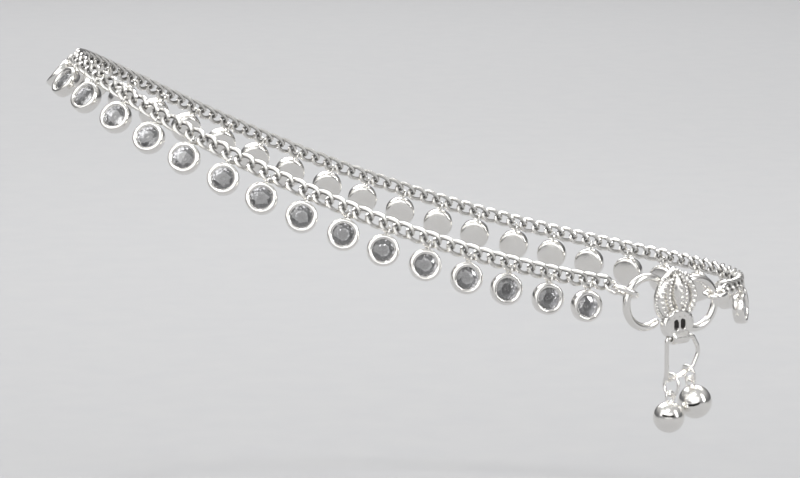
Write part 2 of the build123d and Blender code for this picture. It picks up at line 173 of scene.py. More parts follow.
def tube(path, up, radius, sides=16, closed=False, height=None, round_ends=False):
    """Round or oval wire along a path.

    A point is path + radius cos(angle) across + height sin(angle) above, where across is the
    direction crossed with up. Radius and height may vary along the path.
    """
    path = np.asarray(path, float)
    if closed:
        way = np.roll(path, -1, -2) - np.roll(path, 1, -2)
    else:
        way = np.gradient(path, axis=-2)
    way = unit(way)
    radius = np.broadcast_to(radius, path.shape[:-1])
    height = radius if height is None else np.broadcast_to(height, path.shape[:-1])
    if round_ends:
        bend = np.radians([88, 75, 60, 45, 30, 15])
        shrink, reach = np.cos(bend), np.sin(bend)
        first = path[:1] - way[:1] * (reach * radius[0])[:, None]
        last = path[-1:] + way[-1:] * (reach[::-1] * radius[-1])[:, None]
        path = np.concatenate([first, path, last])
        way = np.concatenate([np.repeat(way[:1], 6, 0), way, np.repeat(way[-1:], 6, 0)])
        radius, height = [
            np.concatenate([size[0] * shrink, size, size[-1] * shrink[::-1]])
            for size in (radius, height)
        ]
    across = unit(np.cross(way, np.broadcast_to(up, path.shape)))
    above = np.cross(across, way)
    angle = np.linspace(0, 2 * np.pi, sides, endpoint=False)[:, None]
    return (
        path[..., None, :]
        + (radius[..., None, None] * np.cos(angle)) * across[..., None, :]
        + (height[..., None, None] * np.sin(angle)) * above[..., None, :]
    )


def circle(radius, count, start=0.0, turn=360.0):
    """Points of an arc in the x-y plane; a full turn leaves out its last point."""
    angle = np.radians(start + turn * np.linspace(0, 1, count, endpoint=abs(turn) < 360))
    return np.stack([radius * np.cos(angle), radius * np.sin(angle), 0 * angle], -1)


def rounded(corners, radii, steps=10):
    """A closed line with its corners rounded.

    Each corner becomes an arc that touches both of its sides: it starts
    radius * tan(half the turn) before the corner and ends as far after it.
    """
    corners = np.asarray(corners, float)
    line = []
    for i, radius in enumerate(radii):
        corner = corners[i]
        before = unit(corner - corners[i - 1])
        after = unit(corners[(i + 1) % len(corners)] - corner)
        half = np.arccos(before @ after) / 2
        centre = corner + unit(after - before) * radius / np.cos(half)
        spread = np.linspace(-half, half, steps)[:, None]
        outward, onward = unit(corner - centre), unit(before + after)
        line.append(centre + radius * (np.cos(spread) * outward + np.sin(spread) * onward))
    return np.concatenate(line)


# %% [markdown]
# ## The loop line
# The chain's middle line is an ellipse in plan and rises from the heel to the instep. The
# skin of the ankle gives each point an outward direction, and the chain lies on it. These
# are the same sizes as the model's, and the printed distances show that they agree.

# %% Loop line
LOOP_HALF_LENGTH = 49.7
LOOP_HALF_WIDTH = 27.5
LOOP_RISE = 17.4
LOOP_BOW = 3.25
LEAN = (16.5, 18.0, 6.5)
UP = np.array([0.0, 0.0, 1.0])


def loop_point(turn):
    """Ellipse in plan; height is the rise times cos plus the bow times cos of twice the turn."""
    return np.stack([
        -LOOP_HALF_LENGTH * np.cos(turn),
        -LOOP_HALF_WIDTH * np.sin(turn),
        LOOP_RISE * np.cos(turn) + LOOP_BOW * np.cos(2 * turn),
    ], -1)


def loop_axes(turn):
    """Along the chain, up the skin, and outward: the outward lean is a short cosine series."""
    along = unit(np.stack([
        LOOP_HALF_LENGTH * np.sin(turn),
        -LOOP_HALF_WIDTH * np.cos(turn),
        -LOOP_RISE * np.sin(turn) - 2 * LOOP_BOW * np.sin(2 * turn),
    ], -1))
    lean = np.radians(LEAN[0] + LEAN[1] * np.cos(turn) + LEAN[2] * np.cos(2 * turn))[..., None]
    level = unit(np.stack(
        [-np.cos(turn) / LOOP_HALF_LENGTH, -np.sin(turn) / LOOP_HALF_WIDTH, 0 * turn], -1
    ))
    outward = level * np.cos(lean) + UP * np.sin(lean)
    outward = unit(outward - along * (outward * along).sum(-1, keepdims=True))
    return np.stack([along, np.cross(outward, along), outward], -2)


TURNS = np.radians(np.arange(7201) / 10)
STEPS = np.linalg.norm(np.diff(loop_point(TURNS), axis=0), axis=1)
LENGTHS = np.concatenate([[0], np.cumsum(STEPS)])
LOOP_LENGTH = LENGTHS[3600]


def turn_at(length):
    return np.interp(length, LENGTHS, TURNS)


def placed(local, origin, axes):
    """Local x, y, z of each point counted along the three axes from the origin."""
    return origin + local @ axes


print(f"loop {LOOP_LENGTH:.1f} mm")

# %% [markdown]
# ## Where the hook sits
# The hook is stiff and lies on the outside of the ankle, just above the heel. The motif on it
# and the loop below share its outward direction. What joins it to the chain is short, so its
# ends decide where the first and last link are: the end link is the one just in reach.

# %% Hook places
HOOK_HEADING, HOOK_SLOPE, MOTIF_TILT = np.radians([29.0, 6.5, 4.0])
HOOK_RING_RADIUS = 3.65
HOOK_RING_DISTANCE = 9.3
HOOK_WIRE = 1.2
HOOK_PULL = np.radians(20.0)
LINKAGE_PLAY = 0.18
END_RING_RADIUS, END_RING_WIRE, END_RING_TURN = 1.2, 0.54, 46.0
CONNECTOR_LENGTH, CONNECTOR_WIDTH, CONNECTOR_WIRE, CONNECTOR_TURN = 4.3, 3.5, 0.76, 80.0
LINK_PITCH, LINK_WIRE, LINK_GAP = 2.035, 0.62, 0.13
LINK_HALF_LENGTH = (LINK_PITCH + LINK_WIRE + LINK_GAP) / 2
LINK_HALF_WIDTH = 0.90
LINK_TWIST = 0.44

heading = np.array([np.cos(HOOK_HEADING), np.sin(HOOK_HEADING), 0])
hook_out = np.array([np.sin(HOOK_HEADING), -np.cos(HOOK_HEADING), 0])


def axes_facing_out(x_dir):
    """Right-handed axes with x given and z straight out from the ankle."""
    return np.stack([x_dir, np.cross(hook_out, x_dir), hook_out])


hook_centre = loop_point(np.radians(136.0)) - 1.9 * UP
hook_axes = axes_facing_out(heading * np.cos(HOOK_SLOPE) - UP * np.sin(HOOK_SLOPE))
motif_axes = axes_facing_out(heading * np.cos(MOTIF_TILT) + UP * np.sin(MOTIF_TILT))
hinge_axes = axes_facing_out(heading)
KNOB_CENTRE = np.array([0, -4.97, 1.5])
hinge_centre = placed(KNOB_CENTRE, hook_centre, motif_axes)

connector_reach = CONNECTOR_LENGTH / 2 - CONNECTOR_WIRE - LINKAGE_PLAY
hook_to_connector = connector_reach - HOOK_WIRE / 2
connector_to_ring = connector_reach - END_RING_WIRE / 2 + END_RING_RADIUS
ring_to_link = END_RING_RADIUS - END_RING_WIRE / 2 - LINK_WIRE / 2 - LINKAGE_PLAY + LINK_HALF_LENGTH
linkage = hook_to_connector + connector_to_ring + ring_to_link


def pull_point(side):
    x = side * (HOOK_RING_DISTANCE / 2 + HOOK_RING_RADIUS * np.cos(HOOK_PULL))
    return placed(np.array([x, HOOK_RING_RADIUS * np.sin(HOOK_PULL), 0]), hook_centre, hook_axes)


def end_link_length(side):
    """Halving the stretch of loop until its end is just in reach of the hook."""
    near = LENGTHS[1360]
    far = near + side * 3 * linkage
    for _ in range(40):
        middle = (near + far) / 2
        if np.linalg.norm(loop_point(turn_at(middle)) - pull_point(side)) < linkage:
            near = middle
        else:
            far = middle
    return near


first_length = end_link_length(1)
last_length = end_link_length(-1) + LOOP_LENGTH
link_count = round((last_length - first_length) / LINK_PITCH) + 1
link_turns = turn_at(np.linspace(first_length, last_length, link_count))
link_points, link_axes = loop_point(link_turns), loop_axes(link_turns)
hinge_joint = frame["joints"][0]
hinge_off = np.abs(np.array(hinge_joint["pos_m"]) / MM - hinge_centre).max()
print(link_count, "links; hinge off by", hinge_off, "mm")

# %% [markdown]
# ## Curb chain
# Each link is an oval of wire given a quarter twist, so that the next link lies flat through
# it. The line (a cos t, b sin t, c sin 2t) has that twist. The top and underside are filed
# flat, which is done here by pressing the heights under a limit. A link is a small mesh, as
# there are so many of them, and all of them are one array.

# %% Chain
FILED_HEIGHT = 0.56
LINK_STEPS = 18
LINK_SIDES = 6


def pressed(z, limit, softness=0.03):
    """Heights kept under the limit, with a small rounding where they reach it."""
    over = np.abs(z) - limit
    return np.sign(z) * (np.abs(z) - softness * np.log1p(np.exp(over / softness)))


link_angle = np.linspace(0, 2 * np.pi, LINK_STEPS, endpoint=False)
link_line = np.stack([
    LINK_HALF_LENGTH * np.cos(link_angle),
    LINK_HALF_WIDTH * np.sin(link_angle),
    LINK_TWIST * np.sin(2 * link_angle),
], -1)
link = tube(link_line, UP, LINK_WIRE / 2, LINK_SIDES, closed=True)
link[..., 2] = pressed(link[..., 2], FILED_HEIGHT)
every_link = np.broadcast_to(link.reshape(1, -1, 3), (link_count, link.size // 3, 3))
chain_rings = placed(every_link, link_points[:, None], link_axes)
chain_rings = chain_rings.reshape(link_count, LINK_STEPS, LINK_SIDES, 3)
chain = stands_for(piece("chain_links", shape(chain_rings, rows_close=True)), "curb_chain")
# The inner side of each link's wire is painted dark: painted shade where the links pass through
# each other, with some grime, so that dark lines part the links.
link_reach = np.linalg.norm(link_line, axis=1)[:, None, None]
inward = ((link_line[:, None] - link) * link_line[:, None] / link_reach).sum(-1)
link_shade_and_grime = np.clip(0.1 + 1.1 * inward / (LINK_WIRE / 2), 0, 1)
mark(chain, np.tile(link_shade_and_grime.ravel(), link_count))

# %% [markdown]
# ## Stone drops
# A drop is a turned cup with a thick rolled rim, soldered to a small ring. The ring rides on
# the lower side of a link, and the drops sway a little, as loose things do. The cup is a
# profile turned round its axis. Its inner wall and floor are painted dark silver, as shade
# under the stone with some oxide, so that the stone looks deep.

# %% Drops
LINKS_PER_DROP, FIRST_DROP_LINK = 3, 1
BAIL_RADIUS, BAIL_WIRE, BAIL_TURN = 0.68, 0.36, np.radians(20.0)
DROP_LENGTH, DROP_SAG, DROP_SWAY = 2.78, 0.36, np.radians(2.2)
CUP_SEGMENTS = 48


def turned(profile, segments):
    """Radius and height pairs carried round the z axis."""
    angle = np.linspace(0, 2 * np.pi, segments, endpoint=False)
    profile = np.asarray(profile, float)[:, None]
    radius, height = profile[..., 0], profile[..., 1]
    return np.stack([radius * np.cos(angle), radius * np.sin(angle), height + 0 * angle], -1)


def about_z(angle):
    """Axes turned about z."""
    c, s = np.cos(angle), np.sin(angle)
    return np.array([[c, s, 0], [-s, c, 0], [0, 0, 1]])


rim_angle = np.radians(np.linspace(0, 150, 7))
cup_profile = [
    (0.02, -0.72), (1.0, -0.71), (1.45, -0.3), (1.70, 0.12), (1.71, 0.42), (1.57, 0.50),
    *np.stack([1.93 - 0.36 * np.cos(rim_angle), 0.60 + 0.34 * np.sin(rim_angle)], -1),
    (2.30, 0.58), (2.30, 0.10), (2.29, -0.35), (2.20, -0.62), (2.02, -0.80), (1.75, -0.89),
    (0.02, -0.90),
]
# The first rows of the profile are the cup's inside, painted dark as shade under the stone, with
# some oxide.
DARK_ROWS = 5
cup = turned(cup_profile, CUP_SEGMENTS)

bail_slope = np.arctan2(2 * LINK_TWIST, LINK_HALF_LENGTH) - BAIL_TURN
bail_up = np.array([np.cos(bail_slope), 0, -np.sin(bail_slope)])
bail_axes = np.stack([np.array([0, 1, 0]), np.cross(bail_up, [0, 1, 0]), bail_up])
bail_line = circle(BAIL_RADIUS, 24) @ bail_axes
bail = tube(bail_line, bail_up, BAIL_WIRE / 2, 8, closed=True)

drop_index = np.arange(link_count - 1 - FIRST_DROP_LINK, FIRST_DROP_LINK - 1, -LINKS_PER_DROP)
drop_axes = link_axes[drop_index]
strand = link_points[drop_index] - LINK_HALF_WIDTH * drop_axes[:, 1]
drop_lean = DROP_SAG * np.arctan2(-drop_axes[:, 0, 2], drop_axes[:, 1, 2])
drop_lean += DROP_SWAY * np.sin(2.3 * np.arange(len(drop_index)))


def hung(local, number):
    """Points of a cup or stone set where the drop's ring lets it hang."""
    turned_axes = about_z(drop_lean[number])
    return placed((local + [0, -DROP_LENGTH, 0]) @ turned_axes, strand[number], drop_axes[number])


for number in range(len(drop_index)):
    drop = joined([
        shape(hung(cup, number)),
        shape(placed(bail, strand[number], drop_axes[number]), rows_close=True),
    ])
    node = f"drop_{number + 1:02d}"
    setting = piece(f"setting_{number + 1:02d}", drop)
    # The cup's inside rows get painted shade, with some oxide.
    mark(setting, np.arange(len(drop[0])) < DARK_ROWS * CUP_SEGMENTS)
    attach(setting, "anklet")
    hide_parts(node)
last_drop = np.array([v.co for v in setting.data.vertices])
drop_off = np.abs(last_drop.min(0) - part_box(node)[0]).max() / MM
print(len(drop_index), "drops; last box off by", drop_off, "mm")

# %% [markdown]
# ## Stones
# The stones are cut as full round brilliants: a table, eight stars, eight kites, sixteen
# upper girdle facets, a girdle, sixteen lower girdle facets and eight pavilion mains. The
# corners are found from a few rings of points. The facets stay flat, with no smooth
# shading, because a cut stone lives by its sharp reflections.

# %% Brilliant
STONE_RADIUS = 1.62
GIRDLE_LOW, GIRDLE_HIGH = 0.30, 0.43
TABLE_RADIUS, TABLE_HEIGHT = 0.92, 0.72
CULET = -0.60
KITE_HEIGHT = 0.60


def ring_points(radius, height, count, start=0.0):
    """Points spaced equally on a level circle."""
    angle = 2 * np.pi * (np.arange(count) + start) / count
    return np.stack([radius * np.cos(angle), radius * np.sin(angle), height + 0 * angle], -1)


def brilliant():
    """Corners and facets of one stone, table up."""
    kite_radius = 0.5 * (TABLE_RADIUS / np.cos(np.pi / 8) + STONE_RADIUS) * 0.98
    rings = [
        ring_points(TABLE_RADIUS, TABLE_HEIGHT, 8),
        ring_points(kite_radius, KITE_HEIGHT, 8, 0.5),
        ring_points(STONE_RADIUS, GIRDLE_HIGH, 16),
        ring_points(STONE_RADIUS, GIRDLE_LOW, 16),
        ring_points(STONE_RADIUS * 0.30, CULET * 0.62 + 0.02, 8, 0.5),
        [[0, 0, CULET]],
    ]
    first = np.cumsum([0] + [len(ring) for ring in rings])
    table, kite, high, low, deep, tip = first[:6]
    facets = [[table + i for i in range(8)]]
    for i in range(8):
        after = (i + 1) % 8
        facets += [
            [table + i, kite + i, table + after],
            [table + i, kite + (i - 1) % 8, high + 2 * i, kite + i],
            [kite + i, high + 2 * i, high + 2 * i + 1],
            [kite + i, high + 2 * i + 1, high + (2 * i + 2) % 16],
            [deep + i, low + 2 * i + 1, low + 2 * i],
            [deep + i, low + (2 * i + 2) % 16, low + 2 * i + 1],
            [tip, deep + i, low + 2 * i, deep + (i - 1) % 8],
        ]
    for i in range(16):
        after = (i + 1) % 16
        facets.append([low + i, low + after, high + after, high + i])
    return np.concatenate(rings), [np.array(facet) for facet in facets]


stone_points, facets = brilliant()
if signed_volume(stone_points, facets) < 0:
    facets = [facet[::-1] for facet in facets]
stones = joined([(hung(stone_points, number), facets) for number in range(len(drop_index))])
gems = stands_for(piece("zirconia_stones", stones, sharp=0.01), "stones")
one_stone = np.concatenate([[0], np.tile([0, 0, 0, 0, 1, 1, 1], 8), np.zeros(16)])
mark(gems, np.tile(one_stone, len(drop_index)), "foil", "FACE")

# %% [markdown]
# ## Rings at the ends of the chain
# A small ring through the last link and an oval ring join the chain to the hook. Both are
# turned out of the skin's plane by half a turn's share each, as rings in a chain are.

# %% Linkage
JUMP_SIDES = 16


def linkage_rings(side):
    """Middle lines and normals of the oval connector and the end ring."""
    end = 0 if side > 0 else link_count - 1
    start = pull_point(side)
    along = unit(link_points[end] - start)
    outward = unit(link_axes[end, 2] - along * (link_axes[end, 2] @ along))
    upward = np.cross(outward, along) * -side

    def facing(turn):
        turn = np.radians(turn)
        return outward * np.cos(turn) - upward * np.sin(turn)

    radius = (CONNECTOR_WIDTH - CONNECTOR_WIRE) / 2
    half = (CONNECTOR_LENGTH - CONNECTOR_WIDTH) / 2
    right_end, left_end = circle(radius, 25, -90, 180), circle(radius, 25, 90, 180)
    oval = np.concatenate([right_end + [half, 0, 0], left_end - [half, 0, 0]])
    normal = facing(side * CONNECTOR_TURN)
    oval_axes = np.stack([along, np.cross(normal, along), normal])
    oval = placed(oval, start + along * hook_to_connector, oval_axes)
    ring_normal = facing(-side * END_RING_TURN)
    ring_axes = np.stack([along, np.cross(ring_normal, along), ring_normal])
    ring_axes[0] = np.cross(ring_axes[1], ring_normal)
    ring_place = start + along * (hook_to_connector + connector_to_ring)
    ring = placed(circle(END_RING_RADIUS, 40), ring_place, ring_axes)
    return (oval, normal), (ring, ring_normal)


for side, place in ((-1, "front"), (1, "heel")):
    (oval, oval_up), (ring, ring_up) = linkage_rings(side)
    oval_wire = tube(oval, oval_up, CONNECTOR_WIRE / 2, JUMP_SIDES, closed=True)
    ring_wire = tube(ring, ring_up, END_RING_WIRE / 2, JUMP_SIDES, closed=True)
    stands_for(piece(f"oval_ring_{place}", shape(oval_wire, rows_close=True)), f"connector_{place}")
    stands_for(piece(f"round_ring_{place}", shape(ring_wire, rows_close=True)), f"end_ring_{place}")

# %% [markdown]
# ## S-hook
# The hook is one length of thick round wire: two open rings joined by a slanting middle, with
# rounded ends. It is springy and the ends can be pushed off the ovals, but it has no hinge.

# %% Hook
HOOK_MOUTH = np.radians(-45.0)


def s_line():
    """Left arc, straight middle and right arc of the S: the right is the left, half turned."""
    half = HOOK_RING_DISTANCE / 2
    meet = np.pi / 2 - np.arcsin(HOOK_RING_RADIUS / half)
    end = HOOK_MOUTH - HOOK_WIRE / 2 / HOOK_RING_RADIUS
    angle = np.linspace(end, meet - 2 * np.pi, 90)
    left = np.stack([
        HOOK_RING_RADIUS * np.cos(angle) - half, HOOK_RING_RADIUS * np.sin(angle), 0 * angle
    ], -1)
    middle = np.linspace(left[-1], -left[-1] * [1, 1, 0], 14)[1:-1]
    return np.concatenate([left, middle, -left[::-1] * [1, 1, 0]])


hook_line = placed(s_line(), hook_centre, hook_axes)
hook_wire = piece("hook_wire", shape(tube(hook_line, hook_out, HOOK_WIRE / 2, 24, round_ends=True)))
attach(hook_wire, "anklet")
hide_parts("s_hook")
print("hook wire", len(hook_line), "points along")

# %% [markdown]
# ## Cast motif
# The motif was made in wax and cast, then soldered on the hook: a pointed shield with a
# raised leaf and a bent petal on each side, a collar of beads, and a round bud pierced by
# two slots. The shapes are first made one by one, then merged with a fine voxel remesh and
# smoothed, and that gives the soft inner corners of a casting.

# %% Motif shapes
MOTIF_BACK = 0.75
PLATE_FRONT = 1.35
SHIELD_HALF_WIDTH, SHIELD_WIDEST, SHIELD_TOP = 3.9, 0.5, 5.5
SHIELD_SHOULDER, SHIELD_FOOT = (2.0, 4.2), (2.3, -2.0)
BUD_HALF_WIDTH, BUD_HALF_HEIGHT, BUD_CENTRE, BUD_FRONT = 2.85, 2.35, -2.95, 1.95
KNOB_RADIUS, KNOB_LENGTH = 0.95, 3.2
LOOP_WIRE = 0.66
BORE_RADIUS = LOOP_WIRE / 2 + 0.15


def ball(centre, radii, count=28):
    """An ellipsoid: height -cos v, radius sin v, stretched by the three radii."""
    v = np.linspace(0.02, np.pi - 0.02, count)
    return turned(np.stack([np.sin(v), -np.cos(v)], -1), 2 * count) * radii + centre


def slab(outline, layers):
    """An outline in layers one over another: each layer is (height, shrink towards the middle)."""
    middle = outline.mean(0)
    rows = [middle + (outline - middle) * shrink + [0, 0, height] for height, shrink in layers]
    return np.stack(rows)


def bar(start, end, radius, sides=32):
    """Straight round bar."""
    path = np.linspace(start, end, 12)
    side = [0, 0, 1] if abs(unit(path[-1] - path[0])[2]) < 0.9 else [0, 1, 0]
    return tube(path, side, radius, sides)


def arc_through(start, over, end, count):
    """Circle arc through three points, found from its centre in their plane."""
    start, over, end = (np.asarray(p, float) for p in (start, over, end))
    a, b = over - start, end - start
    n = np.cross(a, b)
    centre = start + (np.cross(n, a) * (b @ b) + np.cross(b, n) * (a @ a)) / (2 * (n @ n))
    radius = np.linalg.norm(start - centre)
    u = unit(start - centre)
    w = np.cross(unit(n), u)
    last = np.arctan2((end - centre) @ w, (end - centre) @ u) % (2 * np.pi)
    angle = np.linspace(0, last, count)[:, None]
    return centre + radius * (np.cos(angle) * u + np.sin(angle) * w)


def side_arc(end, count, widest=SHIELD_HALF_WIDTH, level=SHIELD_WIDEST):
    """Arc of the shield's side: upright where widest, radius (inset^2 + rise^2) / (2 inset)."""
    inset, rise = widest - end[0], end[1] - level
    radius = (inset ** 2 + rise ** 2) / (2 * inset)
    angle = np.linspace(0, np.arctan2(rise, radius - inset), count)
    across = widest - radius + radius * np.cos(angle)
    return np.stack([across, level + radius * np.sin(angle), 0 * angle], -1)


def mirrored(line):
    return line * [-1, 1, 1]


def shield_outline():
    upper, lower = side_arc(SHIELD_SHOULDER, 24)[::-1], side_arc(SHIELD_FOOT, 20)[1:]
    peak = np.linspace((0, SHIELD_TOP, 0), upper[0], 12)[:-1]
    foot = np.linspace(lower[-1], (0, SHIELD_FOOT[1], 0), 12)[1:]
    right = np.concatenate([peak, upper, lower, foot])
    return np.concatenate([right, mirrored(right[-2:0:-1])])


def leaf(tip=4.75, foot=-1.3, half_width=1.25, crown=2.78, rows=50):
    """Pointed leaf: across it each row is an arch, high in the middle of its length.

    Half width = w sin(pi v) ** 0.8, and
    height = back + (crown - back) * (1 - u ** 2) * sin(pi v) ** 0.4.
    """
    v = np.linspace(0.01, 0.99, rows)[:, None]
    angle = np.linspace(0, 2 * np.pi, 40, endpoint=False)[None]
    swell = np.sin(np.pi * v)
    x = half_width * swell ** 0.8 * np.cos(angle)
    arch = np.where(np.sin(angle) > 0, np.sin(angle) ** 2 * (crown - 1.0) * swell ** 0.4, 0)
    y = foot + (tip - foot) * v + 0 * angle
    return np.stack([x, y, 1.0 + arch - 0.1 * (np.sin(angle) <= 0)], -1)


def spaced(line, count):
    """Points at equal lengths along a line."""
    run = np.concatenate([[0], np.cumsum(np.linalg.norm(np.diff(line, axis=0), axis=1))])
    at = np.linspace(0, run[-1], count)
    return np.stack([np.interp(at, run, column) for column in line.T], -1)


def grains(line, radii):
    """A row of balls along a line, and the same row on the other side of the motif."""
    row = spaced(line, len(radii))
    return [
        shape(ball(centre * [side, 1, 1], radius, 14))
        for centre, radius in zip(row, radii) for side in (1, -1)
    ]


round_edge = [
    (MOTIF_BACK, 0.985), (MOTIF_BACK + 0.06, 1), (PLATE_FRONT - 0.15, 1), (PLATE_FRONT, 0.95),
]
bud_outline = circle(1.0, 72) * [BUD_HALF_WIDTH, BUD_HALF_HEIGHT, 0] + [0, BUD_CENTRE, 0]
bud_edge = [
    (MOTIF_BACK, 0.97), (MOTIF_BACK + 0.08, 1), (BUD_FRONT - 0.35, 1), (BUD_FRONT - 0.08, 0.93),
    (BUD_FRONT, 0.82),
]
petal_line = arc_through((1.1, 3.75, 1.35), (3.1, 0.7, 1.45), (2.05, -1.35, 1.35), 40)
petal_radius = 0.36 + 0.19 * np.sin(np.pi * np.linspace(0, 1, 40)) ** 0.7
petal = tube(petal_line, [0, 0, 1], petal_radius, 24, round_ends=True)
upper_side, lower_side = side_arc((2.0, 4.2), 24, 3.62), side_arc((2.3, -1.8), 20, 3.62)
edge_line = np.concatenate([upper_side[::-1], lower_side[1:]]) + [0, 0, 1.3]
inner_line = arc_through((0.55, 4.3, 1.75), (1.62, 1.6, 1.85), (0.9, -1.0, 1.75), 40)
tip_line = np.linspace((0.45, 5.0, 1.35), (1.75, 4.1, 1.35), 9)
bead_x = np.linspace(-1.84, 1.84, 5)
motif_shapes = [
    shape(slab(shield_outline(), round_edge)),
    shape(leaf()),
    shape(petal),
    shape(mirrored(petal)),
    shape(bar((0, 0, 0.05), (0, 0, 0.95), 1.3)),
    *grains(edge_line, np.full(15, 0.25)),
    *grains(tip_line, np.full(4, 0.24)),
    *grains(petal_line + [0, 0, 0.42], 0.27 + 0.07 * np.sin(np.pi * np.linspace(0, 1, 9))),
    *grains(inner_line, np.full(11, 0.25)),
]
motif_shapes += [shape(ball((x, -1.95 - 0.05 * x * x, 1.5), 0.48)) for x in bead_x]
ridge = ((0.2, 2.62), (1.1, 2.76), (2.0, 2.78), (2.9, 2.62))
motif_shapes += [shape(ball((0, y, z), 0.27, 14)) for y, z in ridge]
print(len(motif_shapes), "shapes for the shield")

# %% [markdown]
# Blender's Boolean modifier cuts the two slots through the bud and the hinge bore through the
# knob. The slots are cut before the remesh, so their edges are softened with the rest, and
# the bore after it, because a drilled hole keeps its edge.

# %% Cast it
CAST_VOXEL = 0.075 * MM
SLOT_WIDTH, SLOT_HEIGHT, SLOT_BAR = 0.92, 1.55, 0.34
# Slot walls deeper than the rim behind the bud's front are painted fully dark, as shade inside the
# slots; the next number is how strongly.
SLOT_RIM = 0.15
SLOT_PAINTED_SHADE = 1.6


def slot_cutter(x):
    """Upright bar with round ends standing through the bud."""
    lift = (SLOT_HEIGHT - SLOT_WIDTH) / 2
    outline = np.concatenate([
        circle(SLOT_WIDTH / 2, 17, 0, 180) + [0, lift, 0],
        circle(SLOT_WIDTH / 2, 17, 180, 180) - [0, lift, 0],
    ]) + [x, BUD_CENTRE, 0]
    return shape(np.stack([outline + [0, 0, z] for z in (MOTIF_BACK - 1, BUD_FRONT + 1)]))


def use(thing, kind, **settings):
    """Adds a modifier, sets it and applies it at once."""
    modifier = thing.modifiers.new(kind.title(), kind)
    for name, value in settings.items():
        setattr(modifier, name, value)
    graph = bpy.context.evaluated_depsgraph_get()
    made = bpy.data.meshes.new_from_object(thing.evaluated_get(graph))
    thing.modifiers.remove(modifier)
    thing.data = made
    return thing


def cut(thing, cutter_shape):
    """Takes one closed shape out of another."""
    cutter = piece("cutter", cutter_shape)
    use(thing, "BOOLEAN", object=cutter, operation="DIFFERENCE", solver="EXACT")
    bpy.data.objects.remove(cutter)


motif = piece("motif", shape(slab(bud_outline, bud_edge)))
for side in (-1, 1):
    cut(motif, slot_cutter(side * (SLOT_WIDTH + SLOT_BAR) / 2))
bud_points = np.array([v.co for v in motif.data.vertices]) / MM
bud_faces = [np.array(p.vertices) for p in motif.data.polygons]
knob_half = np.array([KNOB_LENGTH / 2 - 0.15, 0, 0])
knob_axis = hinge_axes @ motif_axes.T
knob_bar = tube(
    np.linspace(KNOB_CENTRE - knob_half @ knob_axis, KNOB_CENTRE + knob_half @ knob_axis, 16),
    [0, 0, 1], KNOB_RADIUS * np.array([0.9, *[1] * 14, 0.9]), 40,
)
motif_points, motif_faces = joined([(bud_points, bud_faces), shape(knob_bar), *motif_shapes])
bpy.data.objects.remove(motif)
motif = piece("motif", (placed(motif_points, hook_centre, motif_axes), motif_faces))
use(motif, "REMESH", mode="VOXEL", voxel_size=CAST_VOXEL, use_smooth_shade=True)
use(motif, "SMOOTH", factor=0.5, iterations=4)
bore_reach = KNOB_LENGTH * heading
bore_line = np.linspace(hinge_centre - bore_reach, hinge_centre + bore_reach, 9)
bore = tube(bore_line, hook_out, BORE_RADIUS, 32)
cut(motif, shape(bore))
motif.data.name = "motif"
motif.data.polygons.foreach_set("use_smooth", np.ones(len(motif.data.polygons), bool))
motif.data.set_sharp_from_angle(angle=np.radians(60))
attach(motif, "anklet")
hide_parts("s_hook")
print("motif", len(motif.data.polygons), "faces")

# %% [markdown]
# A casting is polished on what stands proud. Its corners are painted dark, as shade with some
# tarnish: a number says how deep in a corner each vertex lies, where the mean of its neighbours
# lies outside the surface. That measure is spread a few steps to the neighbours, and the walls
# inside the slots get full painted shade.

# %% Corners of the casting


def corner_depth(mesh, spread=3, strength=14.0):
    """Neighbour mean minus the vertex, along the normal, over the edge length, then averaged."""
    count = len(mesh.vertices)
    ends = np.empty(len(mesh.edges) * 2, int)
    mesh.edges.foreach_get("vertices", ends)
    a, b = ends.reshape(-1, 2).T
    both, other = np.concatenate([a, b]), np.concatenate([b, a])
    points, normals = np.empty(count * 3), np.empty(count * 3)
    mesh.vertices.foreach_get("co", points)
    mesh.vertex_normals.foreach_get("vector", normals)
    points, normals = points.reshape(-1, 3), normals.reshape(-1, 3)
    degree = np.maximum(np.bincount(both, minlength=count), 1)

    def mean_near(values):
        sums = [np.bincount(both, column[other], count) for column in values.T]
        return np.stack(sums, -1) / degree[:, None]

    edge = np.linalg.norm(points[a] - points[b], axis=1).mean()
    depth = ((mean_near(points) - points) * normals).sum(-1, keepdims=True) / edge
    for _ in range(spread):
        depth = (depth + mean_near(depth)) / 2
    return np.clip(depth[:, 0] * strength, 0, 1)


# Corners of the casting get painted shade, with some tarnish, by how deep they lie.
depth = corner_depth(motif.data)
cast_points = (np.array([v.co for v in motif.data.vertices]) / MM - hook_centre) @ motif_axes.T
from_bar = np.abs(np.abs(cast_points[:, 0]) - (SLOT_WIDTH + SLOT_BAR) / 2)
from_middle = np.abs(cast_points[:, 1] - BUD_CENTRE)
voxel = CAST_VOXEL / MM
in_slot = (from_bar < SLOT_WIDTH / 2 + voxel) & (from_middle < SLOT_HEIGHT / 2 + voxel)
# Painted shade on the slot walls below the rim, at full strength.
depth = np.maximum(depth, SLOT_PAINTED_SHADE * (in_slot & (cast_points[:, 2] < BUD_FRONT - SLOT_RIM)))
mark(motif, depth)
print("in corners", round(float((depth > 0.3).mean()), 3))

# %% [markdown]
# ## Bell loop
# The loop is one piece of wire bent round six corners. Its straight top lies in the knob's
# bore and turns there, and it carries the bells with it, so it rides on the moving body. The
# straight runs are divided, because a long thin strip of faces shades badly.

# %% Bell loop
LOOP_CORNERS = [
    (-2.2, 0, 0), (2.6, 0, 0), (3.95, -2.3, 0), (2.7, -4.75, 0), (-0.3, -5.85, 0), (-2.2, -6.2, 0),
]
LOOP_BENDS = [0.5, 0.5, 2.0, 0.9, 1.0, 0.5]
loop_line = placed(rounded(LOOP_CORNERS, LOOP_BENDS), hinge_centre, hinge_axes)
longest = 0.4


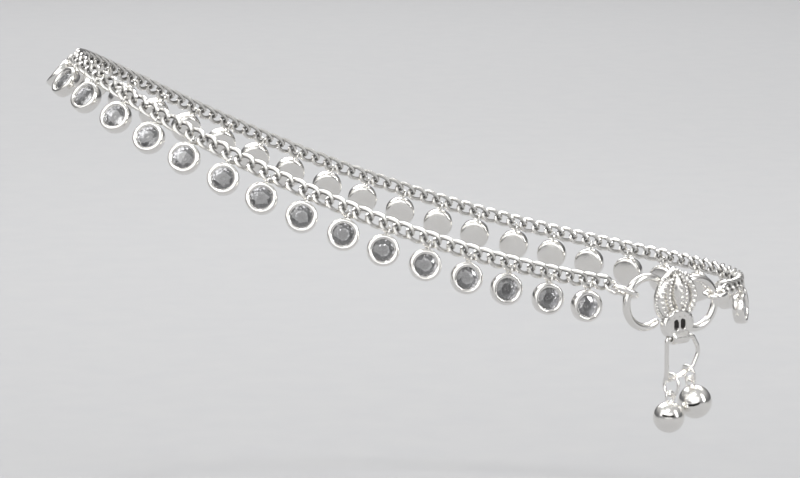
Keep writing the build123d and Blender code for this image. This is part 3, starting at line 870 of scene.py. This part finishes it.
def filled(line, step):
    """Straight runs divided so that no piece is longer than the step."""
    after = np.roll(line, -1, 0)
    counts = np.maximum(1, np.ceil(np.linalg.norm(after - line, axis=1) / step)).astype(int)
    start = np.repeat(line, counts, 0)
    part = np.concatenate([np.arange(c) / c for c in counts])[:, None]
    return start + part * np.repeat(after - line, counts, 0)


loop_tube = tube(filled(loop_line, longest), hook_out, LOOP_WIRE / 2, 20, closed=True)
bell_loop = piece("bell_loop_wire", shape(loop_tube, rows_close=True))
stands_for(bell_loop, "bell_loop", "bell_drop")

# %% [markdown]
# ## Jump rings and bells
# A ghungroo is a thin ball of sheet silver with a curved slit in front and a loose ball
# inside, which makes it ring. Cutting the slit with a Boolean would leave thin triangles in
# the bright ball, so the grid runs round the slit instead. Its first ring is the slit's own
# outline and its last one the point at the back, so the edge is exact. The same grid a little
# smaller, taken backwards, is the inside wall.

# %% Bells
JUMP_RING_RADII = {1: 1.6, 2: 1.2}
JUMP_RING_WIRE = 0.5
BELL_RADII = {1: 2.3, 2: 2.5}
BELL_WALL = 0.3
BELL_EYE_RADIUS, BELL_EYE_WIRE = 0.75, 0.42
BELL_HANGERS = {1: (-1.2, -5.0), 2: (1.85, 16.0)}
SLIT_LENGTH, SLIT_WIDTH, SLIT_BOW = 1.9, 0.34, 2.0
SLIT_TURN, SLIT_LIFT = np.radians([-42.0, 10.0])
RING_PLAY = 0.11
SHELL_RINGS = 26


def bell_shell(radius):
    """Rings of points round the slit, inside first and then outside.

    On a ball seen from the slit, a point is at an angle r from the slit's middle and a
    bearing b round it: cos r to the front and sin r sideways. The slit's outline is a bar with
    round ends, bent by moving each point up by its x squared over twice the bow.
    """
    straight = (SLIT_LENGTH - SLIT_WIDTH) / 2 / radius
    tip = SLIT_WIDTH / 2 / radius
    turn = np.radians(np.linspace(-90, 90, 13))
    right = np.stack([straight + tip * np.cos(turn), tip * np.sin(turn)], -1)
    top = np.stack([np.linspace(straight, -straight, 12)[1:-1], np.full(10, tip)], -1)
    outline = np.concatenate([right, top, -right, -top])
    bearing = np.unwrap(np.arctan2(outline[:, 1], outline[:, 0]))
    even = np.linspace(bearing[0], bearing[0] + 2 * np.pi, len(outline), endpoint=False)
    near_eye = [0, 0.008, 0.02, 0.04, 0.07]
    s = np.concatenate([near_eye, np.linspace(0.11, 0.995, SHELL_RINGS)])[:, None]
    mixed = even + (bearing - even) * (1 - s) ** 6
    reach = np.hypot(*outline.T) * (1 - s) + np.pi * s
    u, v = reach * np.cos(mixed), reach * np.sin(mixed)
    v = v + u * u * radius / (2 * SLIT_BOW) * np.exp(-reach ** 2 / 0.4)
    r, b = np.hypot(u, v), np.arctan2(v, u)
    ball = np.stack([np.sin(r) * np.cos(b), np.sin(r) * np.sin(b), np.cos(r)], -1)
    return np.concatenate([ball[::-1] * (radius - BELL_WALL), ball * radius])


def turned_about(axis, angle):
    """Axes turned about x (0) or y (1)."""
    c, s = np.cos(angle), np.sin(angle)
    turn = np.array([[[1, 0, 0], [0, c, s], [0, -s, c]], [[c, 0, -s], [0, 1, 0], [s, 0, c]]])
    return turn[axis]


def bell_hang(number):
    """Place and axes of a bell's hanging line, on the foot of the loop."""
    x, lean = BELL_HANGERS[number]
    lean = np.radians(lean)
    foot = np.array(LOOP_CORNERS[:2:-1])
    across = heading * np.cos(lean) + UP * np.sin(lean)
    place = np.array([x, np.interp(x, foot[:, 0], foot[:, 1]), 0])
    return placed(place, hinge_centre, hinge_axes), axes_facing_out(across)


for number in BELL_HANGERS:
    origin, axes = bell_hang(number)
    ring_radius, radius = JUMP_RING_RADII[number], BELL_RADII[number]
    ring_drop = ring_radius - JUMP_RING_WIRE / 2 - LOOP_WIRE / 2 - RING_PLAY
    eye_drop = ring_drop + ring_radius - JUMP_RING_WIRE / 2
    eye_drop = eye_drop + BELL_EYE_RADIUS - BELL_EYE_WIRE / 2 - RING_PLAY
    bell_drop = eye_drop + BELL_EYE_RADIUS + radius - 0.1
    ring_line = placed(circle(ring_radius, 48)[:, [2, 1, 0]] - [0, ring_drop, 0], origin, axes)
    ring_tube = tube(ring_line, axes[0], JUMP_RING_WIRE / 2, JUMP_SIDES, closed=True)
    jump = shape(ring_tube, rows_close=True)
    stands_for(piece(f"jump_ring_{number}", jump), f"bell_ring_{number}", "bell_drop")
    eye_line = circle(BELL_EYE_RADIUS, 32) - [0, eye_drop, 0]
    eye = tube(eye_line, UP, BELL_EYE_WIRE / 2, 14, closed=True)
    slit_axes = turned_about(0, -SLIT_LIFT) @ turned_about(1, SLIT_TURN)
    shell = bell_shell(radius) @ slit_axes - [0, bell_drop, 0]
    body = joined([
        shape(placed(shell, origin, axes)), shape(placed(eye, origin, axes), rows_close=True),
    ])
    stands_for(piece(f"ghungroo_{number}", body), f"bell_{number}", "bell_drop")

# %% [markdown]
# ## Finishes
# Shader sums are written as ordinary expressions. `Wire` wraps a socket, and an operator on
# it adds the Math node. `Finish` holds one material's nodes and has one method for every other
# kind of node.

# %% Shader helpers


class Reading:
    """A socket's value, with + - * / on it adding Math nodes."""

    def __init__(self, finish, socket):
        self.finish, self.socket = finish, socket

    def maths(self, operation, *values):
        return self.finish.node("ShaderNodeMath", {"operation": operation}, dict(enumerate(values)))

    def __add__(self, other):
        return self.maths("ADD", self, other)

    def __mul__(self, other):
        return self.maths("MULTIPLY", self, other)

    def __sub__(self, other):
        return self.maths("SUBTRACT", self, other)

    def __rsub__(self, other):
        return self.maths("SUBTRACT", other, self)

    def __truediv__(self, other):
        return self.maths("DIVIDE", self, other)

    __radd__ = __add__
    __rmul__ = __mul__

    def held(self, low=0.0, high=1.0):
        return self.maths("MAXIMUM", self.maths("MINIMUM", self, high), low)


class Finish:
    """One node tree: a material's, or the world's."""

    def __init__(self, tree):
        self.tree = tree
        tree.nodes.clear()

    def node(self, kind, settings=None, inputs=None, output=0):
        """Adds a node, sets it up, fills its sockets and gives back one output."""
        node = self.tree.nodes.new(kind)
        for name, value in (settings or {}).items():
            if name == "stops":
                ramp = node.color_ramp
                while len(ramp.elements) < len(value):
                    ramp.elements.new(1.0)
                for element, (place, colour) in zip(ramp.elements, value):
                    element.position, element.color = place, (*colour, 1.0)
            else:
                setattr(node, name, value)
        for name, value in (inputs or {}).items():
            if isinstance(value, Reading):
                self.tree.links.new(value.socket, node.inputs[name])
            else:
                node.inputs[name].default_value = value
        return Reading(self, node.outputs[output]) if node.outputs else node

    def place(self):
        return self.node("ShaderNodeTexCoord", output="Object")

    def noise(self, size, detail=3.0, where=None):
        """Cloudy pattern with features about this many millimetres across, from 0 to 1."""
        return self.node("ShaderNodeTexNoise", {}, {
            "Vector": where or self.place(), "Scale": 1 / (size * MM), "Detail": detail
        }, "Fac")

    def mix(self, share, one, two):
        """Colour one where the share is 0 and colour two where it is 1."""
        node = self.tree.nodes.new("ShaderNodeMix")
        node.data_type = "RGBA"
        ends = ((node.inputs[0], share), (node.inputs[6], one), (node.inputs[7], two))
        for socket, value in ends:
            if isinstance(value, Reading):
                self.tree.links.new(value.socket, socket)
            else:
                socket.default_value = value if socket.type == "VALUE" else (*value, 1.0)
        return Reading(self, node.outputs[2])


def surface(name, fill):
    """A material whose Principled surface gets what fill(finish) returns for its sockets."""
    material = bpy.data.materials.new(name)
    material.use_nodes = True
    finish = Finish(material.node_tree)
    shader = finish.node("ShaderNodeBsdfPrincipled", {}, fill(finish), "BSDF")
    finish.node("ShaderNodeOutputMaterial", {}, {"Surface": shader})
    return material


# %% [markdown]
# ## Silver
# Silver is nearly white as a metal and mirrors what is round it. What makes it look real
# is the wear: clouds of fine hairlines that change the gloss over a few millimetres, and tiny
# dents. Where the shade attribute is high, the colour is painted dark grey-brown: painted
# shade, with some sulphide tarnish.

# %% Silver finishes
SILVER_BRIGHT = (0.93, 0.92, 0.90)
SILVER_WARM = (0.86, 0.84, 0.80)
# Dark colour painted in hollows: painted shade, with some tarnish.
SILVER_SHADE_AND_TARNISH = (0.09, 0.085, 0.08)


def silver(gloss, dent, shade_and_tarnish_amount):
    """Polished silver: gloss is roughness, dent how uneven it is, and the third number how dark
    hollows are painted, as shade with some tarnish.
    """
    def fill(finish):
        clouds = finish.noise(2.4, 4.0)
        hairs = finish.noise(0.12, 2.0)
        hollow = finish.node("ShaderNodeAttribute", {"attribute_name": "hollow"}, {}, "Fac")
        # The shade attribute paints hollows dark and rougher: painted shade, with some tarnish.
        dark = (hollow * shade_and_tarnish_amount * (0.7 + clouds * 0.6)).held()
        clean = finish.mix(clouds, SILVER_WARM, SILVER_BRIGHT)
        bump = finish.node("ShaderNodeBump", {}, {
            "Height": clouds * 0.6 + hairs * 0.1, "Distance": dent * MM, "Strength": 0.6
        })
        return {
            "Base Color": finish.mix(dark, clean, SILVER_SHADE_AND_TARNISH),
            "Metallic": 1.0 - dark * 0.3,
            "Roughness": (gloss * 0.6 + clouds * gloss * 0.8 + dark * 0.35).held(0.04, 0.9),
            "Normal": bump,
        }
    return fill


chain_silver = surface("chain_silver", silver(0.24, 0.05, 0.95))
cup_silver = surface("cup_silver", silver(0.20, 0.03, 0.85))
wire_silver = surface("wire_silver", silver(0.19, 0.02, 0.5))
cast_silver = surface("cast_silver", silver(0.22, 0.05, 0.7))
bell_silver = surface("bell_silver", silver(0.21, 0.06, 0.8))

# %% [markdown]
# ## Stones
# Cubic zirconia bends light more than glass (2.15 against 1.5), so most facets throw back
# light from inside. Their undersides are foiled, as small stones in closed cups are, so the
# attribute `foil` turns the lower facets into mirrors seen through the crown. The crown lets
# nine tenths of the light through and scatters the rest, which keeps it from going black.

# %% Stone finish


FOIL_GLOSS = 0.05
CROWN_CLEARNESS = 0.9


def zirconia(finish):
    veil = finish.noise(1.5, 2.0)
    foil = finish.node("ShaderNodeAttribute", {"attribute_name": "foil"}, {}, "Fac")
    clear = finish.mix(veil, (0.93, 0.93, 0.94), (0.98, 0.98, 0.98))
    return {
        "Base Color": finish.mix(foil, clear, (0.95, 0.95, 0.96)),
        "Metallic": foil,
        "Roughness": foil * FOIL_GLOSS + veil * 0.02,
        "IOR": 2.15,
        "Transmission Weight": CROWN_CLEARNESS,
    }


stone_clear = surface("zirconia", zirconia)


def dressed(material, *names):
    """Gives objects a material in their first slot."""
    for name in names:
        thing = bpy.data.objects[name]
        thing.data.materials.clear()
        thing.data.materials.append(material)
    print(material.name, len(names))


dressed(chain_silver, "chain_links")
dressed(cup_silver, *[f"setting_{n + 1:02d}" for n in range(len(drop_index))])
dressed(stone_clear, "zirconia_stones")
dressed(
    wire_silver, "hook_wire", "oval_ring_front", "oval_ring_heel", "round_ring_front",
    "round_ring_heel", "bell_loop_wire", "jump_ring_1", "jump_ring_2",
)
dressed(cast_silver, "motif")
dressed(bell_silver, "ghungroo_1", "ghungroo_2", "bell_pellet_1", "bell_pellet_2")

# %% [markdown]
# ## Floor
# The anklet keeps the form of the ankle that wore it, so it stands free over a pale floor.
# The floor is matt paper with a faint cloudiness, and a little darker than silver, so that the
# undersides of the bells, which mirror it, stay apart from it.

# %% Floor
FLOOR_DROP = 0.022
FLOOR_SIZE = 3.0
floor_z = cad_low[2] - FLOOR_DROP
corners = np.array([(-1, -1), (1, -1), (1, 1), (-1, 1)]) * FLOOR_SIZE
floor_mesh = bpy.data.meshes.new("floor")
floor_mesh.from_pydata([(x, y, floor_z) for x, y in corners], [], [(0, 1, 2, 3)])
floor = bpy.data.objects.new("floor", floor_mesh)
bpy.context.scene.collection.objects.link(floor)


def paper(finish):
    grain = finish.noise(8.0, 4.0)
    grey = finish.mix(grain, (0.36, 0.36, 0.37), (0.39, 0.39, 0.39))
    return {"Base Color": grey, "Roughness": 0.75}


floor.data.materials.append(surface("pale_paper", paper))

# %% [markdown]
# ## Light
# A mirror is lit by what it sees. The sky is dark at the horizon, which draws the dark edges
# of the wires, and bright overhead. Two wide soft lamps, one in front and one to the left, lie
# where the flats of the chain and the rims of the cups look, so those turn white. A small
# high lamp and a narrow one at the side give the stones their glints. The last two light
# the floor behind the piece.

# %% Sky and lamps
world = bpy.data.worlds.new("studio")
bpy.context.scene.world = world
world.use_nodes = True
sky = Finish(world.node_tree)
direction = sky.node("ShaderNodeTexCoord", output="Generated")
height = sky.node("ShaderNodeSeparateXYZ", {}, {"Vector": direction}, "Z")
grey = sky.node("ShaderNodeValToRGB", {"stops": [
    (0.0, (0.20, 0.20, 0.21)), (0.5, (0.10, 0.10, 0.105)), (0.62, (0.16, 0.16, 0.165)),
    (0.85, (0.55, 0.55, 0.55)),
]}, {"Fac": height * 0.5 + 0.5}, "Color")
background = sky.node("ShaderNodeBackground", {}, {"Color": grey, "Strength": 1.0})
sky.node("ShaderNodeOutputWorld", {}, {"Surface": background})


def soft_lamp(name, place, aim, width, depth, watts):
    """Rectangular area lamp turned towards a point."""
    lamp = bpy.data.lights.new(name, "AREA")
    lamp.shape, lamp.size, lamp.size_y, lamp.energy = "RECTANGLE", width, depth, watts
    thing = bpy.data.objects.new(name, lamp)
    thing.location = place
    thing.rotation_euler = (Vector(aim) - Vector(place)).to_track_quat("-Z", "Y").to_euler()
    bpy.context.scene.collection.objects.link(thing)


soft_lamp("front_lamp", (-0.15, -1.15, 0.42), (0, 0, 0), 1.30, 0.90, 4.4)
soft_lamp("key_lamp", (-0.12, -0.45, 0.80), (0, 0, 0), 0.12, 0.12, 2.4)
soft_lamp("left_lamp", (-0.95, -0.55, 0.75), (0, 0, 0), 1.10, 1.10, 5.0)
soft_lamp("side_lamp", (0.55, -0.35, 0.30), (0, 0, 0), 0.08, 0.5, 1.5)
soft_lamp("back_lamp", (0.0, 0.95, 0.60), (0, 0.60, 0), 1.0, 0.5, 6.5)
soft_lamp("over_lamp", (0.05, 0.24, 0.38), (0.05, 0.26, 0), 0.60, 0.20, 1.1)

# %% [markdown]
# ## Camera
# The camera stands half a metre off, a little above the anklet, and looks down at it by about
# nine degrees through a long lens. It aims at a point just below the middle of the loop.

# %% Camera
CAMERA_PLACE = (-0.05335, -0.495, 0.07168)
CAMERA_AIM = (-0.001886, 0.0, -0.007330)
SENSOR_WIDTH = 36.0
LENS = 151.47
to_aim = Vector(CAMERA_AIM) - Vector(CAMERA_PLACE)
camera_data = bpy.data.cameras.new("camera")
camera_data.sensor_width = SENSOR_WIDTH
camera_data.lens = LENS
camera_data.clip_start = 0.01
camera = bpy.data.objects.new("camera", camera_data)
camera.location = CAMERA_PLACE
camera.rotation_euler = to_aim.to_track_quat("-Z", "Y").to_euler()
bpy.context.scene.collection.objects.link(camera)
bpy.context.scene.camera = camera
bpy.context.scene.view_settings.view_transform = "Standard"
